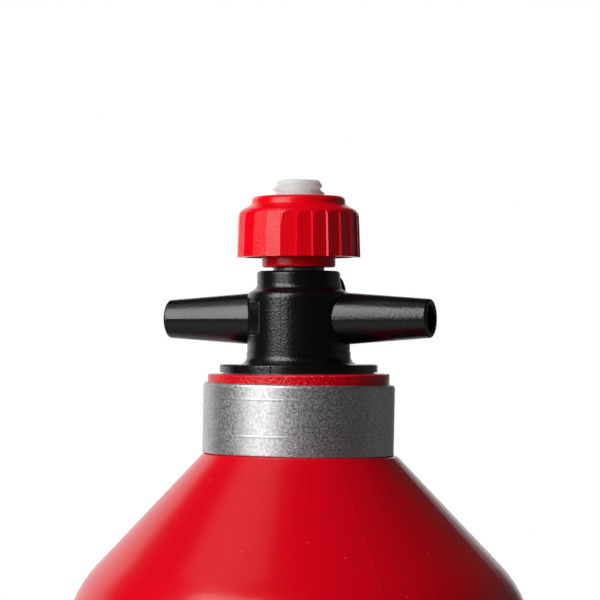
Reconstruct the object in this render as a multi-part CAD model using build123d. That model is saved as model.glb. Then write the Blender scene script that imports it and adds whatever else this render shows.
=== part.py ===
"""Camping fuel bottle: a blow-moulded one litre bottle with a screw-in push valve.

Millimetres, +Z up. The origin is the centre of the standing ring, +Z runs up the bottle's axis
and +X along the pouring arm. At rest the valve is screwed home and shut, and the knob stands
half a turn above its lock.
"""
import os
from math import acos, atan2, cos, hypot, pi, radians, sin, sqrt, tan

from build123d import *

# Bottle, read upwards from the surface that it stands on
MOUTH_Z = 227.8
BARREL_R = 45.0
BARREL_WALL = 1.7
BASE_WALL = 2.2
HEEL_R = 7.0
STAND_WIDTH = 3.0
PUSH_UP = 4.5
PINCH_RIB_LENGTH = 46.0
PINCH_RIB_WIDTH = 1.2
PINCH_RIB_HEIGHT = 0.6
PARTING_ANGLE = -47.9
SHOULDER_R = 22.4
CONE_ANGLE = 43.5
NECK_R = 17.48
NECK_HEIGHT = 14.25
NECK_EDGE_R = 0.4
LAND_DROP = 15.44
LAND_EDGE_R = 0.8
MOUTH_CHAMFER = 0.3
OVERRUN = 1.0

# Metal band round the neck, rolled in at its top; band and land lean a little to one side
BAND_R = 18.4
BAND_WALL = 0.75
BAND_HEIGHT = 13.55
BAND_LIP_R = 0.6
BAND_EDGE_R = 0.25
BAND_BURR_R = 0.1
BAND_GROOVE_DEPTH = 0.05
BAND_GROOVE_WIDTH = 0.5
BAND_GROOVE_TOP = 2.9
BAND_GROOVE_FOOT = 3.7
BAND_TILT = 1.1
BAND_TILT_AXIS = 110.3
BAND_SEAT_GAP = 0.02

# Valve body, flange and threaded skirt
SKIRT_R = 12.0
SKIRT_BORE_R = 10.4
SKIRT_LENGTH = 15.5
THREAD_DEPTH = 0.8
THREAD_PLAY = 0.15
FLANGE_R = 15.2
FLANGE_T = 1.5
FLANGE_GAP = 0.3
FLANGE_EDGE_R = 0.35
FLANGE_NOTCH = 0.35
GASKET_T = 0.9
GASKET_WIDTH = 1.6
GASKET_PLAY = 0.15

# Valve body, column, collar and arms
COLUMN_R = 9.9
COLUMN_FOOT_FILLET = 1.6
COLUMN_FOOT_STEP = 0.1
COLUMN_FOOT_HEIGHT = 2.4
COLLAR_R = 8.0
COLLAR_EDGE_R = 0.6
COLLAR_TOP = 19.45
COLLAR_HEIGHT = 2.45
SHOULDER_DROP = 2.7
ARM_HEIGHT = 10.3
ARM_REACH = 26.8
ARM_TIP_R = 3.7
ARM_TAPER = 4.3
ARM_EDGE_R = 0.5
SPOUT_BORE_R = 2.6
VENT_BORE_R = 1.7
ARM_MOUTH_FLARE = 0.4
LUG_ANGLE = 33.0
LUG_WIDTH = 1.6
LUG_FOOT_R = 9.1
LUG_TIP_R = 7.95
LUG_THICKNESS = 0.55
LUG_HEIGHT = 2.8
PLATE_ANGLE = -129.6
PLATE_WIDTH = 3.6
PLATE_HEIGHT = 6.2
PLATE_DEPTH = 0.25

# Valve seat and its two ports
FLOOR_DROP = 1.1
SEAT_LIP = 0.4
SEAT_LIP_WIDTH = 0.6
PORT_MID_R = 7.0
PORT_WIDTH = 3.1
PORT_RISE_SHARE = 0.5
FUEL_PORT_ANGLE = 84.0
AIR_PORT_ANGLE = 34.0

# Spindle: threaded top, round shank, flats that stop it turning, spigot for the head
SPINDLE_TOP = 17.45
SPINDLE_THREAD_R = 5.0
SPINDLE_CHAMFER = 0.7
SHANK_R = 4.0
SHANK_PLAY = 0.1
SHANK_FLAT = 3.3
FULL_STROKE = 3.65
KEY_LAND = 3.5
SPIGOT_R = 2.4
SPIGOT_LENGTH = 3.6
STEM_SEAL_R = 4.95
STEM_SEAL_LENGTH = 3.0
STEM_SEAL_PLAY = 0.1
O_RING_SECTION = 1.3
O_RING_PLAY = 0.03
O_RING_GROOVE_PLAY = 0.2
O_RING_HEIGHT = 9.3

# Valve head and rubber under the ports
HEAD_R = 9.6
HEAD_FLOOR = 1.9
HEAD_RIM_DEPTH = 0.9
HEAD_BOSS_R = 3.9
HEAD_BOSS_DROP = 0.8
SEAL_R = 9.1
SEAL_T = 1.5
SCREW_R = 1.5
SCREW_LENGTH = 7.5
SCREW_HEAD_R = 2.8
SCREW_HEAD_T = 1.9
SCREW_DRIVE_R = 1.1
SCREW_DRIVE_SIDES = 6
SCREW_DRIVE_DEPTH = 1.0
SCREW_PLAY = 0.05
WASHER_R = 3.5
WASHER_T = 0.5

# Return spring and the cage that carries it
WIRE_R = 0.45
SPRING_R = 6.2
SPRING_TURNS = 4.5
SPRING_SEAT_GAP = 0.03
CAGE_FLOOR_T = 1.4
CAGE_WALL = 1.1
CAGE_WALL_HEIGHT = 3.6
CAGE_PLAY = 0.05
CAGE_BEAD = 0.2
CAGE_BEAD_HEIGHT = 0.8
CAGE_BEAD_DROP = 1.0
CAGE_HOLE_R = 4.0
CAGE_WINDOWS = 6
CAGE_WINDOW_MID_R = 8.4
CAGE_WINDOW_WIDTH = 2.2
CAGE_WINDOW_ANGLE = 36.0

# Knob: raised crown, skirt of ratchet facets, hub that comes down on the collar
KNOB_GAP = 0.7
KNOB_HEIGHT = 13.65
HUB_R = 7.08
HUB_EDGE_R = 0.4
HUB_DROP = 1.95
CROWN_R = 9.0
CROWN_EDGE_R = 1.0
CROWN_HEIGHT = 1.05
CROWN_DISH_R = 7.2
CROWN_DISH_DEPTH = 0.4
COVE_R = 0.9
SHOULDER_ROUND_R = 1.8
KNOB_SHOULDER_DROP = 3.0
KNOB_TOP_R = 11.18
KNOB_FLARE = 0.37
FACETS = 24
FACET_RISE = 0.3
FACET_SHELTER = 0.1
FACET_PHASE = 3.6
FACET_STEP_ANGLE = 1.2
KNOB_WALL = 1.3
KNOB_ROOF = 2.7
KNOB_THREAD_PLAY = 0.1
RUBBER_RING_HEIGHT = 1.2
RUBBER_RING_WIDTH = 0.9
RUBBER_RING_PLAY = 0.05

# Places that follow from the sizes above
NECK_BORE_R = SKIRT_R + THREAD_DEPTH + THREAD_PLAY
NECK_Z = MOUTH_Z - NECK_HEIGHT
LAND_Z = MOUTH_Z - LAND_DROP
FLANGE_Z = MOUTH_Z + FLANGE_GAP
FLANGE_TOP_Z = FLANGE_Z + FLANGE_T
FLOOR_Z = FLANGE_Z - FLOOR_DROP
SEAT_Z = FLOOR_Z - SEAT_LIP
ARM_Z = FLANGE_Z + ARM_HEIGHT
COLLAR_Z = FLANGE_Z + COLLAR_TOP
SHOULDER_Z = COLLAR_Z - COLLAR_HEIGHT
SKIRT_FOOT_Z = FLANGE_Z - SKIRT_LENGTH
KNOB_Z = COLLAR_Z + KNOB_GAP
SHANK_BORE_R = SHANK_R + SHANK_PLAY
STEM_SEAL_BORE_R = STEM_SEAL_R + STEM_SEAL_PLAY
STEM_SEAL_TOP_Z = KNOB_Z - RUBBER_RING_PLAY
STEM_SEAL_FOOT_Z = STEM_SEAL_TOP_Z - STEM_SEAL_LENGTH
STEM_BORE_FLOOR_Z = STEM_SEAL_FOOT_Z - FULL_STROKE - STEM_SEAL_PLAY
O_RING_GROOVE_R = SHANK_BORE_R - 2 * O_RING_PLAY - O_RING_SECTION
O_RING_GROOVE_Z = SEAT_Z + O_RING_HEIGHT
SPINDLE_TOP_Z = COLLAR_Z + SPINDLE_TOP
SEAL_FOOT_Z = SEAT_Z - SEAL_T
HEAD_FOOT_Z = SEAL_FOOT_Z - HEAD_FLOOR
HEAD_BOSS_Z = HEAD_FOOT_Z - HEAD_BOSS_DROP
WASHER_FOOT_Z = HEAD_BOSS_Z - WASHER_T
SPRING_GAP = HEAD_FOOT_Z - SKIRT_FOOT_Z
SPRING_PITCH = (SPRING_GAP - 2 * (WIRE_R + SPRING_SEAT_GAP)) / SPRING_TURNS
KNOB_TOP_Z = KNOB_Z + KNOB_HEIGHT
CROWN_FOOT_Z = KNOB_TOP_Z - CROWN_HEIGHT
SKIRT_EDGE_Z = KNOB_Z + HUB_DROP
KNOB_FOOT_R = KNOB_TOP_R + KNOB_FLARE

# Turns in degrees, and solids that stand on their place instead of being centred on it
FULL_TURN = 360.0
HALF_TURN = FULL_TURN / 2
QUARTER = FULL_TURN / 4
UP = (Align.CENTER, Align.CENTER, Align.MIN)


def turned(*edges):
    """A profile of radius against height, turned once round the Z axis."""
    return revolve(Plane.XZ * make_face(edges), Axis.Z)


def rod(radius, low, high):
    """A round bar on the Z axis between two heights."""
    return Pos(0, 0, low) * Cylinder(radius, high - low, align=UP)


def ring(inner, outer, low, high):
    """A flat ring on the Z axis between two heights."""
    return rod(outer, low, high) - rod(inner, low, high)


def path(*points):
    """Straight edges from each point to the next."""
    return [Line(a, b) for a, b in zip(points, points[1:])]


def s_curve(start, end):
    """Two equal arcs that leave one upright wall and end in another."""
    middle = ((start[0] + end[0]) / 2, (start[1] + end[1]) / 2)
    heading = (0, 1) if end[1] > start[1] else (0, -1)
    first = TangentArc(start, middle, tangent=heading)
    return [first, TangentArc(middle, end, tangent=first % 1)]


def rounded(outline, *corners):
    """A flat outline with the corner nearest to each given place rounded to that place's radius."""
    for place, radius in corners:
        outline = fillet(outline.vertices().sort_by_distance(place)[0], radius)
    return outline


def dome_sag(radius, rise, reach):
    """How far a shallow dome of the given rise has dropped at a radius short of its rim."""
    sphere = (reach**2 + rise**2) / (2 * rise)
    return sphere - sqrt(sphere**2 - radius**2)


def bottle_skin(inset, floor, neck_r, neck_z, top_z):
    """The bottle's turned outline, moved inwards by one wall when inset isn't zero."""
    turn = radians(CONE_ANGLE)
    barrel_r = BARREL_R - inset
    bend = SHOULDER_R - inset
    cone_r = barrel_r - bend * (1 - cos(turn))
    cone_z = neck_z - (cone_r - neck_r) / tan(turn)
    barrel_z = cone_z - bend * sin(turn)
    heel = HEEL_R - inset
    stand_r = barrel_r - heel
    dome_r = stand_r - STAND_WIDTH
    dome = ThreePointArc(
        (0, floor + PUSH_UP),
        (dome_r / 2, floor + PUSH_UP - dome_sag(dome_r / 2, PUSH_UP, dome_r)),
        (dome_r, floor),
    )
    return [
        dome,
        Line((dome_r, floor), (stand_r, floor)),
        JernArc((stand_r, floor), (1, 0), heel, QUARTER),
        Line((barrel_r, floor + heel), (barrel_r, barrel_z)),
        JernArc((barrel_r, barrel_z), (0, 1), bend, CONE_ANGLE),
        *path((cone_r, cone_z), (neck_r, neck_z), (neck_r, top_z), (0, top_z)),
        Line((0, top_z), (0, floor + PUSH_UP)),
    ]


def pinch_rib():
    """The low rib that the mould's pinch leaves across the hollow under the base."""
    dome_r = BARREL_R - HEEL_R - STAND_WIDTH
    reach = PINCH_RIB_LENGTH / 2
    end_z = PUSH_UP - dome_sag(reach, PUSH_UP, dome_r)
    face = make_face([
        ThreePointArc(
            (-reach, end_z - PINCH_RIB_HEIGHT),
            (0, PUSH_UP - PINCH_RIB_HEIGHT),
            (reach, end_z - PINCH_RIB_HEIGHT),
        ),
        Line((reach, end_z - PINCH_RIB_HEIGHT), (reach, end_z + PINCH_RIB_HEIGHT)),
        ThreePointArc(
            (reach, end_z + PINCH_RIB_HEIGHT),
            (0, PUSH_UP + PINCH_RIB_HEIGHT),
            (-reach, end_z + PINCH_RIB_HEIGHT),
        ),
        Line((-reach, end_z + PINCH_RIB_HEIGHT), (-reach, end_z - PINCH_RIB_HEIGHT)),
    ])
    rib = extrude(Plane.XZ * face, PINCH_RIB_WIDTH / 2, both=True)
    return Rot(0, 0, PARTING_ANGLE) * rib


def band_place(height):
    """The leaning frame of the metal band, at a height above the foot of its seat."""
    lean = Rot(0, 0, BAND_TILT_AXIS) * Rot(BAND_TILT, 0, 0) * Rot(0, 0, -BAND_TILT_AXIS)
    half = BAND_HEIGHT / 2 + BAND_SEAT_GAP
    return Pos(0, 0, LAND_Z + half / cos(radians(BAND_TILT))) * lean * Pos(0, 0, height - half)


def bottle_body():
    """The blown shell: pushed-up base, straight barrel, round shoulder, cone, land and thick neck."""
    outer = turned(*bottle_skin(0, 0, NECK_R, NECK_Z, NECK_Z + OVERRUN))
    outer -= band_place(0) * rod(BARREL_R, 0, NECK_HEIGHT)
    outer = fillet(outer.faces().sort_by(Axis.Z)[-1].edges(), LAND_EDGE_R)
    outer += rod(NECK_R, LAND_Z - NECK_R * sin(radians(BAND_TILT)) - LAND_EDGE_R, MOUTH_Z)
    slant = BARREL_WALL / cos(radians(CONE_ANGLE))
    inner_neck_z = NECK_Z + (NECK_R - slant - NECK_BORE_R) / tan(radians(CONE_ANGLE))
    shell = outer - turned(*bottle_skin(BARREL_WALL, BASE_WALL, NECK_BORE_R, inner_neck_z, MOUTH_Z + OVERRUN))
    rims = shell.edges().filter_by(GeomType.CIRCLE).group_by(Axis.Z)[-1].sort_by(SortBy.RADIUS)
    shell = chamfer(rims[0], MOUTH_CHAMFER)
    rims = shell.edges().filter_by(GeomType.CIRCLE).group_by(Axis.Z)[-1].sort_by(SortBy.RADIUS)
    shell = fillet(rims[-1], NECK_EDGE_R)
    return shell + pinch_rib()


def neck_band():
    """The rolled band, standing on its leaning land and free of the neck all round."""
    inner = BAND_R - BAND_WALL
    outline = make_face(path(
        (inner, 0),
        (BAND_R, 0),
        (BAND_R, BAND_HEIGHT),
        (inner, BAND_HEIGHT),
        (inner, 0),
    ))
    outline = rounded(
        outline,
        ((BAND_R, BAND_HEIGHT), BAND_LIP_R),
        ((BAND_R, 0), BAND_EDGE_R),
        ((inner, BAND_HEIGHT), BAND_BURR_R),
        ((inner, 0), BAND_EDGE_R),
    )
    band = revolve(Plane.XZ * outline, Axis.Z)
    for height in (BAND_GROOVE_FOOT, BAND_HEIGHT - BAND_GROOVE_TOP):
        floor_r = BAND_R - BAND_GROOVE_DEPTH
        low = height - BAND_GROOVE_WIDTH / 2
        band -= ring(floor_r, BAND_R + OVERRUN, low, low + BAND_GROOVE_WIDTH)
    return band_place(BAND_SEAT_GAP) * band


def flange_gasket():
    """The flat rubber ring that the flange presses on the bottle's mouth."""
    inner = SKIRT_R + GASKET_PLAY + THREAD_DEPTH
    return ring(inner, inner + GASKET_WIDTH, MOUTH_Z, MOUTH_Z + GASKET_T)


def arm(bore_r):
    """One tapering arm along +X, blunt at its tip, and the hole that runs in to the port."""
    root_r = ARM_TIP_R + ARM_REACH * tan(radians(ARM_TAPER))
    outline = make_face(path((0, 0), (ARM_REACH, 0), (ARM_REACH, ARM_TIP_R), (0, root_r), (0, 0)))
    corner = outline.vertices().sort_by(Axis.X)[-2:].sort_by(Axis.Y)[-1]
    body = revolve(fillet(corner, ARM_EDGE_R), Axis.X)
    mouth_r = bore_r + ARM_MOUTH_FLARE
    hole = revolve(make_face(path(
        (PORT_MID_R, 0),
        (ARM_REACH, 0),
        (ARM_REACH, mouth_r),
        (ARM_REACH - ARM_MOUTH_FLARE, bore_r),
        (PORT_MID_R, bore_r),
        (PORT_MID_R, 0),
    )), Axis.X)
    return Pos(0, 0, ARM_Z) * body, Pos(0, 0, ARM_Z) * hole


def port(angle, side, margin=0.0):
    """The curved slot of one port, drawn flat; side is the direction of its middle."""
    span = CenterArc((0, 0), PORT_MID_R, side - angle / 2, angle)
    return SlotArc(span, PORT_WIDTH + 2 * margin)


def collar_lug():
    """The small hooked lug that stands on the shoulder behind the collar."""
    foot_z = SHOULDER_Z - SHOULDER_DROP / 2
    top_z = foot_z + LUG_HEIGHT
    bulge_r = (LUG_FOOT_R + LUG_TIP_R) / 2 + LUG_THICKNESS / 2
    face = make_face([
        Line((LUG_FOOT_R - LUG_THICKNESS, foot_z - LUG_THICKNESS), (LUG_FOOT_R, foot_z - LUG_THICKNESS)),
        Line((LUG_FOOT_R, foot_z - LUG_THICKNESS), (LUG_FOOT_R, foot_z)),
        ThreePointArc((LUG_FOOT_R, foot_z), (bulge_r, (foot_z + top_z) / 2), (LUG_TIP_R, top_z)),
        Line((LUG_TIP_R, top_z), (LUG_FOOT_R - LUG_THICKNESS, foot_z - LUG_THICKNESS)),
    ])
    return Rot(0, 0, LUG_ANGLE) * extrude(Plane.XZ * face, LUG_WIDTH / 2, both=True)


def valve_outline():
    """Skirt, flange, foot fillet, column, shoulder and collar as one turned outline."""
    foot_r = COLUMN_R + COLUMN_FOOT_STEP
    foot_z = FLANGE_TOP_Z + COLUMN_FOOT_HEIGHT
    fillet_z = FLANGE_TOP_Z + COLUMN_FOOT_FILLET
    column_z = SHOULDER_Z - SHOULDER_DROP
    edge = FLANGE_EDGE_R
    rim = COLLAR_EDGE_R
    return [
        *path((0, SKIRT_FOOT_Z), (SKIRT_R, SKIRT_FOOT_Z), (SKIRT_R, FLANGE_Z), (FLANGE_R, FLANGE_Z)),
        Line((FLANGE_R, FLANGE_Z), (FLANGE_R, FLANGE_TOP_Z - edge)),
        JernArc((FLANGE_R, FLANGE_TOP_Z - edge), (0, 1), edge, QUARTER),
        Line((FLANGE_R - edge, FLANGE_TOP_Z), (foot_r + COLUMN_FOOT_FILLET, FLANGE_TOP_Z)),
        JernArc((foot_r + COLUMN_FOOT_FILLET, FLANGE_TOP_Z), (-1, 0), COLUMN_FOOT_FILLET, -QUARTER),
        *path((foot_r, fillet_z), (foot_r, foot_z), (COLUMN_R, foot_z + COLUMN_FOOT_STEP)),
        Line((COLUMN_R, foot_z + COLUMN_FOOT_STEP), (COLUMN_R, column_z)),
        *s_curve((COLUMN_R, column_z), (COLLAR_R, SHOULDER_Z)),
        Line((COLLAR_R, SHOULDER_Z), (COLLAR_R, COLLAR_Z - rim)),
        JernArc((COLLAR_R, COLLAR_Z - rim), (0, 1), rim, QUARTER),
        *path((COLLAR_R - rim, COLLAR_Z), (0, COLLAR_Z), (0, SKIRT_FOOT_Z)),
    ]


def keyway(play):
    """Two flats facing +Y and -Y on a round bar, as the waste to either side of them."""
    flat = SHANK_FLAT + play
    waste = Box(2 * SHANK_BORE_R, SHANK_BORE_R, KEY_LAND, align=(Align.CENTER, Align.MIN, Align.MIN))
    return [Pos(0, flat, FLOOR_Z) * waste, Rot(0, 0, HALF_TURN) * (Pos(0, flat, FLOOR_Z) * waste)]


def plate_recess():
    """The waste of a shallow plain recess in the column's side, whose floor keeps the column's curve."""
    half = PLATE_HEIGHT / 2
    skin = ring(COLUMN_R - PLATE_DEPTH, COLUMN_R + COLUMN_FOOT_STEP, ARM_Z - half, ARM_Z + half)
    window = Pos(COLUMN_R, 0, ARM_Z) * Box(COLUMN_R, PLATE_WIDTH, PLATE_HEIGHT)
    return skin & (Rot(0, 0, PLATE_ANGLE) * window)


def valve_body():
    """The moulded valve body with its two arms, ports, seat, guide bore and hollow skirt."""
    spout, spout_hole = arm(SPOUT_BORE_R)
    vent, vent_hole = arm(VENT_BORE_R)
    back = Rot(0, 0, HALF_TURN)
    body = turned(*valve_outline()) + spout + back * vent + collar_lug()
    body -= rod(SKIRT_BORE_R, SKIRT_FOOT_Z, FLOOR_Z)
    ports = [(FUEL_PORT_ANGLE, 0.0, SPOUT_BORE_R), (AIR_PORT_ANGLE, HALF_TURN, VENT_BORE_R)]
    for angle, side, bore_r in ports:
        body += extrude(Pos(0, 0, SEAT_Z) * port(angle, side, SEAT_LIP_WIDTH), SEAT_LIP)
        rise = ARM_Z + PORT_RISE_SHARE * bore_r - SEAT_Z
        body -= extrude(Pos(0, 0, SEAT_Z) * port(angle, side), rise)
    body -= spout_hole + back * vent_hole
    bore = rod(SHANK_BORE_R, FLOOR_Z, COLLAR_Z)
    for waste in keyway(SHANK_PLAY):
        bore -= waste
    body -= bore
    body -= rod(STEM_SEAL_BORE_R, STEM_BORE_FLOOR_Z, COLLAR_Z)
    inner = SKIRT_R + THREAD_DEPTH
    body -= ring(inner, inner + GASKET_WIDTH + 2 * GASKET_PLAY, FLANGE_Z, MOUTH_Z + GASKET_T)
    groove_z = SKIRT_FOOT_Z + CAGE_WALL_HEIGHT - CAGE_BEAD_DROP
    groove_r = SKIRT_BORE_R + CAGE_BEAD
    body -= rod(groove_r, groove_z - CAGE_BEAD_HEIGHT, groove_z)
    notch = Box(FLANGE_NOTCH, 2 * FLANGE_NOTCH, FLANGE_T, align=UP)
    body -= Pos(0, -FLANGE_R, FLANGE_Z) * notch
    return body - plate_recess()


def spindle():
    """The pale spindle: threaded end, shank with seal groove and flats, and hollow spigot."""
    bar = rod(SPINDLE_THREAD_R, STEM_SEAL_TOP_Z, SPINDLE_TOP_Z)
    top = bar.edges().group_by(Axis.Z)[-1]
    bar = chamfer(top, SPINDLE_CHAMFER)
    bar += rod(SHANK_R, SEAT_Z, STEM_SEAL_TOP_Z)
    bar += rod(SPIGOT_R, SEAT_Z - SPIGOT_LENGTH, SEAT_Z)
    flats_top = FLOOR_Z + KEY_LAND + FULL_STROKE + SHANK_PLAY
    waste = Box(2 * SHANK_R, SHANK_R, flats_top - SEAT_Z, align=(Align.CENTER, Align.MIN, Align.MIN))
    for side in (0, HALF_TURN):
        bar -= Rot(0, 0, side) * (Pos(0, SHANK_FLAT, SEAT_Z) * waste)
    low = O_RING_GROOVE_Z
    bar -= ring(O_RING_GROOVE_R, SHANK_R, low, low + O_RING_SECTION + O_RING_GROOVE_PLAY)
    return bar - rod(SCREW_R + SCREW_PLAY, SEAT_Z - SPIGOT_LENGTH, WASHER_FOOT_Z + SCREW_LENGTH)


def stem_seal():
    """The dark rubber sleeve under the spindle's thread, which shows between knob and collar."""
    return ring(SHANK_R, STEM_SEAL_R, STEM_SEAL_FOOT_Z, STEM_SEAL_TOP_Z)


def stem_o_ring():
    """The O-ring in the shank's groove, just clear of the guide bore."""
    section_r = O_RING_SECTION / 2
    middle = O_RING_GROOVE_Z + (O_RING_SECTION + O_RING_GROOVE_PLAY) / 2
    return Pos(0, 0, middle) * Torus(SHANK_BORE_R - O_RING_PLAY - section_r, section_r)


def valve_head():
    """The dished head that carries the rubber disc and takes the spring's upper end."""
    head = rod(HEAD_R, HEAD_FOOT_Z, SEAL_FOOT_Z + HEAD_RIM_DEPTH)
    head += rod(HEAD_BOSS_R, HEAD_BOSS_Z, HEAD_FOOT_Z)
    head -= rod(SEAL_R + CAGE_PLAY, SEAL_FOOT_Z, SEAL_FOOT_Z + HEAD_RIM_DEPTH)
    return head - rod(SPIGOT_R + SCREW_PLAY, HEAD_BOSS_Z, SEAL_FOOT_Z)


def head_seal():
    """The rubber disc that shuts both ports."""
    return ring(SPIGOT_R + SCREW_PLAY, SEAL_R, SEAL_FOOT_Z, SEAT_Z)


def head_washer():
    """The washer between the head and its screw."""
    return ring(SCREW_R + SCREW_PLAY, WASHER_R, WASHER_FOOT_Z, HEAD_BOSS_Z)


def head_screw():
    """The pan-head screw that draws head, rubber and spindle together."""
    pan_z = WASHER_FOOT_Z - SCREW_HEAD_T
    pan = rod(SCREW_HEAD_R, pan_z, WASHER_FOOT_Z)
    pan = fillet(pan.edges().group_by(Axis.Z)[0], SCREW_HEAD_T / 2)
    drive = extrude(Pos(0, 0, pan_z) * RegularPolygon(SCREW_DRIVE_R, SCREW_DRIVE_SIDES), SCREW_DRIVE_DEPTH)
    return pan + rod(SCREW_R, WASHER_FOOT_Z, WASHER_FOOT_Z + SCREW_LENGTH) - drive


def biarc(start, leave, end, arrive):
    """Two equal arcs in space that join two points and match a direction at each."""
    span = end - start
    lean = leave + arrive
    spread = 2 * (1 - leave.dot(arrive))
    along = span.dot(lean)
    reach = (sqrt(along**2 + spread * span.dot(span)) - along) / spread
    middle = (start + end + (leave - arrive) * reach) / 2
    first = Edge.make_tangent_arc(start, leave, middle)
    return [first, Edge.make_tangent_arc(middle, first % 1, end)]


def helix_path(radius, pitch, turns, low):
    """A rising helix as pairs of arcs, one pair for each quarter turn."""
    steps = round(turns * FULL_TURN / QUARTER)
    slope = pitch / (2 * pi * radius)
    length = hypot(1, slope)
    places = []
    for step in range(steps + 1):
        turn = radians(QUARTER * step)
        point = Vector(radius * cos(turn), radius * sin(turn), low + pitch * turns * step / steps)
        places.append((point, Vector(-sin(turn), cos(turn), slope) / length))
    edges = []
    for (start, leave), (end, arrive) in zip(places, places[1:]):
        edges += biarc(start, leave, end, arrive)
    return edges


def return_spring():
    """The wire spring that pushes the head up against its seat, as one unbroken tube."""
    low = SKIRT_FOOT_Z + SPRING_SEAT_GAP + WIRE_R
    route = Wire(helix_path(SPRING_R, SPRING_PITCH, SPRING_TURNS, low))
    section = Plane(origin=route @ 0, z_dir=route % 0) * Circle(WIRE_R)
    slope = SPRING_PITCH / (2 * pi * SPRING_R)
    gap = SPRING_PITCH / hypot(1, slope) - 2 * WIRE_R
    print(f"return_spring: least gap between turns {gap:.2f} mm")
    return sweep(section, path=route)


def spring_cage():
    """The windowed cup that snaps into the skirt's foot and carries the spring."""
    outer = SKIRT_BORE_R - CAGE_PLAY
    wall_top = SKIRT_FOOT_Z + CAGE_WALL_HEIGHT
    cage = rod(SKIRT_R, SKIRT_FOOT_Z - CAGE_FLOOR_T, SKIRT_FOOT_Z)
    foot = cage.edges().group_by(Axis.Z)[0]
    cage = fillet(foot, CAGE_FLOOR_T / 2)
    cage += ring(outer - CAGE_WALL, outer, SKIRT_FOOT_Z, wall_top)
    bead_top = wall_top - CAGE_BEAD_DROP - CAGE_PLAY
    bead_low = bead_top - CAGE_BEAD_HEIGHT + 2 * CAGE_PLAY
    cage += ring(outer - CAGE_WALL, outer + CAGE_BEAD, bead_low, bead_top)
    cage -= rod(CAGE_HOLE_R, SKIRT_FOOT_Z - CAGE_FLOOR_T, SKIRT_FOOT_Z)
    half = CAGE_WINDOW_ANGLE / 2
    window = SlotArc(CenterArc((0, 0), CAGE_WINDOW_MID_R, -half, CAGE_WINDOW_ANGLE), CAGE_WINDOW_WIDTH)
    cut = extrude(Pos(0, 0, SKIRT_FOOT_Z - CAGE_FLOOR_T) * window, CAGE_FLOOR_T)
    for index in range(CAGE_WINDOWS):
        cage -= Rot(0, 0, index * FULL_TURN / CAGE_WINDOWS) * cut
    return cage


def rubber_ring():
    """The square rubber ring let into the hub's foot, which meets the collar in the lock."""
    inner = SPINDLE_THREAD_R + KNOB_THREAD_PLAY + RUBBER_RING_PLAY
    return ring(inner, inner + RUBBER_RING_WIDTH, KNOB_Z, KNOB_Z + RUBBER_RING_HEIGHT)


def facet_outline(scale):
    """A ratchet wheel: each flat falls away from its high corner, then steps back up."""
    points = []
    pitch = FULL_TURN / FACETS
    for index in range(FACETS):
        high = radians(FACET_PHASE + index * pitch)
        low = radians(FACET_PHASE + (index + 1) * pitch - FACET_STEP_ANGLE)
        for angle, radius in ((high, KNOB_TOP_R + FACET_RISE), (low, KNOB_TOP_R)):
            points.append((radius * scale * cos(angle), radius * scale * sin(angle)))
    return make_face(path(*points, points[0]))


def cove_and_round(start, cove_r, end, round_r):
    """From one upright wall down to a wider one: a cove and a round, joined by the line that touches both."""
    cove_mid = (start[0] + cove_r, start[1])
    round_mid = (end[0] - round_r, end[1])
    span = (round_mid[0] - cove_mid[0], round_mid[1] - cove_mid[1])
    reach = hypot(*span)
    aim = atan2(span[1], span[0]) - acos((cove_r + round_r) / reach)
    touch = (cove_mid[0] + cove_r * cos(aim), cove_mid[1] + cove_r * sin(aim))
    leave = (round_mid[0] - round_r * cos(aim), round_mid[1] - round_r * sin(aim))
    cove = TangentArc(start, touch, tangent=(0, -1))
    return [cove, Line(touch, leave), TangentArc(leave, end, tangent=cove % 1)]


def knob_outline():
    """Crown, dish, cove and round shoulder as one turned outline, a little wider than the facets."""
    bore = SPINDLE_THREAD_R + KNOB_THREAD_PLAY
    dish_z = KNOB_TOP_Z - CROWN_DISH_DEPTH
    clear = FACET_RISE + FACET_SHELTER
    shoulder = (KNOB_TOP_R + clear, CROWN_FOOT_Z - KNOB_SHOULDER_DROP)
    return [
        *path((bore, dish_z), (CROWN_DISH_R - CROWN_DISH_DEPTH, dish_z), (CROWN_DISH_R, KNOB_TOP_Z)),
        Line((CROWN_DISH_R, KNOB_TOP_Z), (CROWN_R - CROWN_EDGE_R, KNOB_TOP_Z)),
        JernArc((CROWN_R - CROWN_EDGE_R, KNOB_TOP_Z), (1, 0), CROWN_EDGE_R, -QUARTER),
        Line((CROWN_R, KNOB_TOP_Z - CROWN_EDGE_R), (CROWN_R, CROWN_FOOT_Z)),
        *cove_and_round((CROWN_R, CROWN_FOOT_Z), COVE_R, shoulder, SHOULDER_ROUND_R),
        *path(shoulder, (KNOB_FOOT_R + clear, SKIRT_EDGE_Z), (bore, SKIRT_EDGE_Z), (bore, dish_z)),
    ]


def knob():
    """The knob: turned form cut down to facets, with a hollow underside and a hub with the thread's bore."""
    facets = loft(
        [
            Pos(0, 0, SKIRT_EDGE_Z) * facet_outline(KNOB_FOOT_R / KNOB_TOP_R),
            Pos(0, 0, KNOB_TOP_Z) * facet_outline(1.0),
        ],
        ruled=True,
    )
    body = turned(*knob_outline()) & facets
    body -= ring(HUB_R, KNOB_FOOT_R - KNOB_WALL, SKIRT_EDGE_Z, CROWN_FOOT_Z - KNOB_ROOF)
    bore = SPINDLE_THREAD_R + KNOB_THREAD_PLAY
    hub = ring(bore, HUB_R, KNOB_Z, SKIRT_EDGE_Z)
    rim = hub.edges().group_by(Axis.Z)[0].sort_by(SortBy.RADIUS)[-1]
    body += fillet(rim, HUB_EDGE_R)
    ring_r = bore + 2 * RUBBER_RING_PLAY + RUBBER_RING_WIDTH
    return body - rod(ring_r, KNOB_Z, KNOB_Z + RUBBER_RING_HEIGHT + RUBBER_RING_PLAY)


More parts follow.
